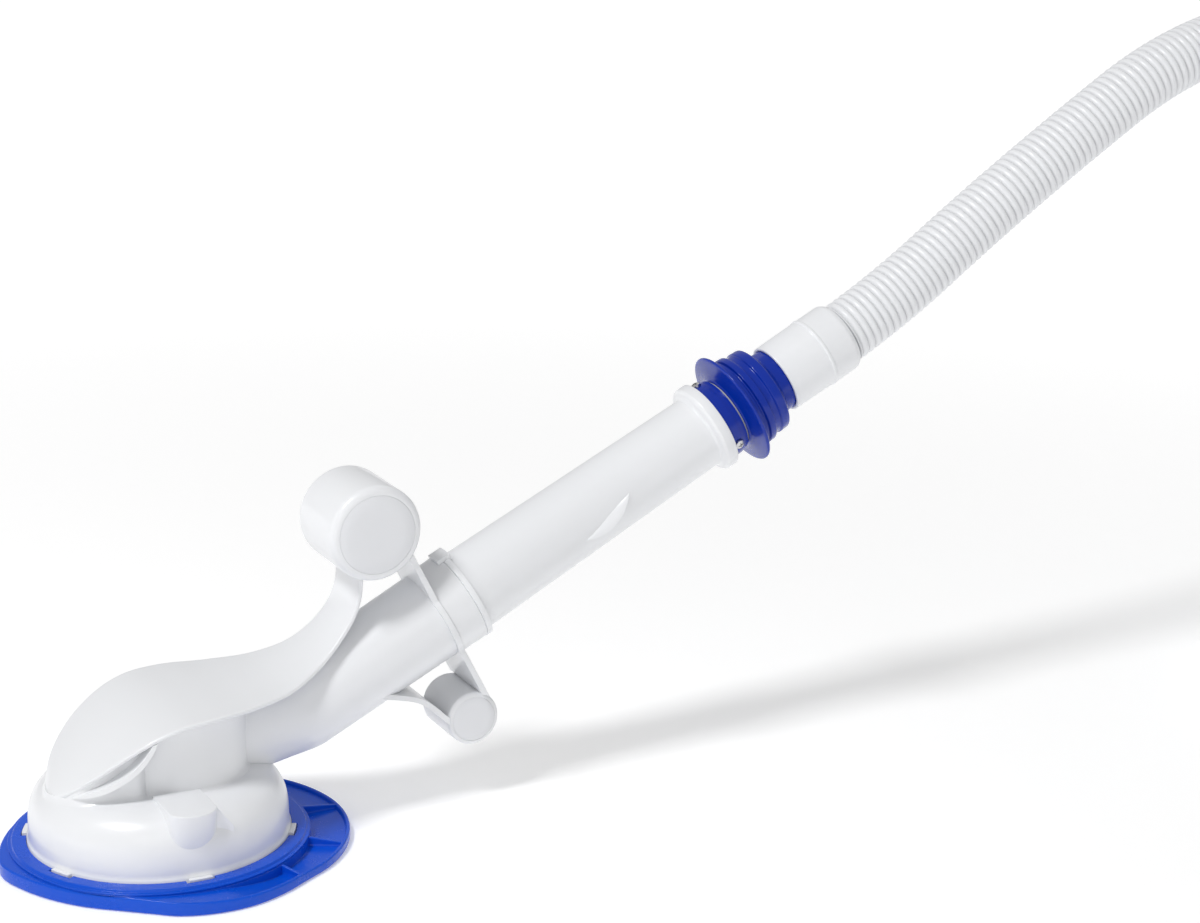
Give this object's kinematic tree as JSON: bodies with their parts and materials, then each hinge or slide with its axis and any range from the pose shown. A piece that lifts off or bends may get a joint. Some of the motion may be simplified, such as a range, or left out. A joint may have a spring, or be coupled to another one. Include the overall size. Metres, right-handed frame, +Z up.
{
  "type": "suction pool cleaner",
  "caption": "Suction pool cleaner with a round foot and dome, long curved shroud, float, weight, inclined two-piece tube, swivel and corrugated hose.",
  "frame": {"origin": "centre of the suction mouth, in the plane of the foot's underside, which rests on the floor", "axes": "+Z up, +X from the nose towards the tube and hose, XZ is the plane of symmetry"},
  "size_m": [1.273, 0.5264, 0.4419],
  "materials": {
    "white_plastic": "satin gloss",
    "blue_plastic": "gloss",
    "blue_skirt": "satin",
    "black_rubber": "matt",
    "grey_plastic": "satin",
    "stainless_steel": "satin",
    "cap_plastic": "satin",
    "foam": "matt",
    "iron": "matt",
    "hose_plastic": "satin gloss"
  },
  "bodies": {
    "cleaner": {"skirt_disc": "blue_skirt", "retaining_ring": "blue_plastic", "dome_shell": "white_plastic", "dome_clips": "white_plastic", "side_lugs": "white_plastic", "throat_nozzle": "black_rubber", "head_housing": "white_plastic", "shroud": "white_plastic", "scoop_near": "white_plastic", "scoop_far": "white_plastic", "valve_frame": "grey_plastic", "valve_pin": "stainless_steel", "valve_bushes": "grey_plastic", "neck_duct": "white_plastic", "body_tube": "white_plastic", "upper_tube": "white_plastic", "locking_lug": "white_plastic", "tube_fins": "white_plastic", "inner_tube": "grey_plastic", "socket_seal": "black_rubber", "strap_plate": "white_plastic", "weight_cradle": "white_plastic", "float_shell": "white_plastic", "float_cap": "cap_plastic", "float_core": "foam", "weight_shell": "white_plastic", "weight_cap": "cap_plastic", "weight_slug": "iron", "swivel_collar": "blue_plastic", "collar_screws": "stainless_steel", "bearing_ring": "grey_plastic", "hose_tube": "hose_plastic", "hose_coil": "hose_plastic", "end_cuff": "hose_plastic"},
    "swivel": {"swivel_connector": "blue_plastic", "retaining_clip": "grey_plastic", "hose_cuff": "hose_plastic"},
    "flapper": {"flapper": "black_rubber"}
  },
  "joints": [
    {"name": "swivel_turn", "type": "hinge", "parent": "cleaner", "child": "swivel", "pos_m": [0.3745, 0, 0.21397], "axis": [0.8959, 0, 0.4442], "continuous": true},
    {"name": "flapper_swing", "type": "hinge", "parent": "cleaner", "child": "flapper", "pos_m": [0.012, 0, 0.08], "axis": [0, 1, 0], "range_deg": [-18, 18]}
  ]
}
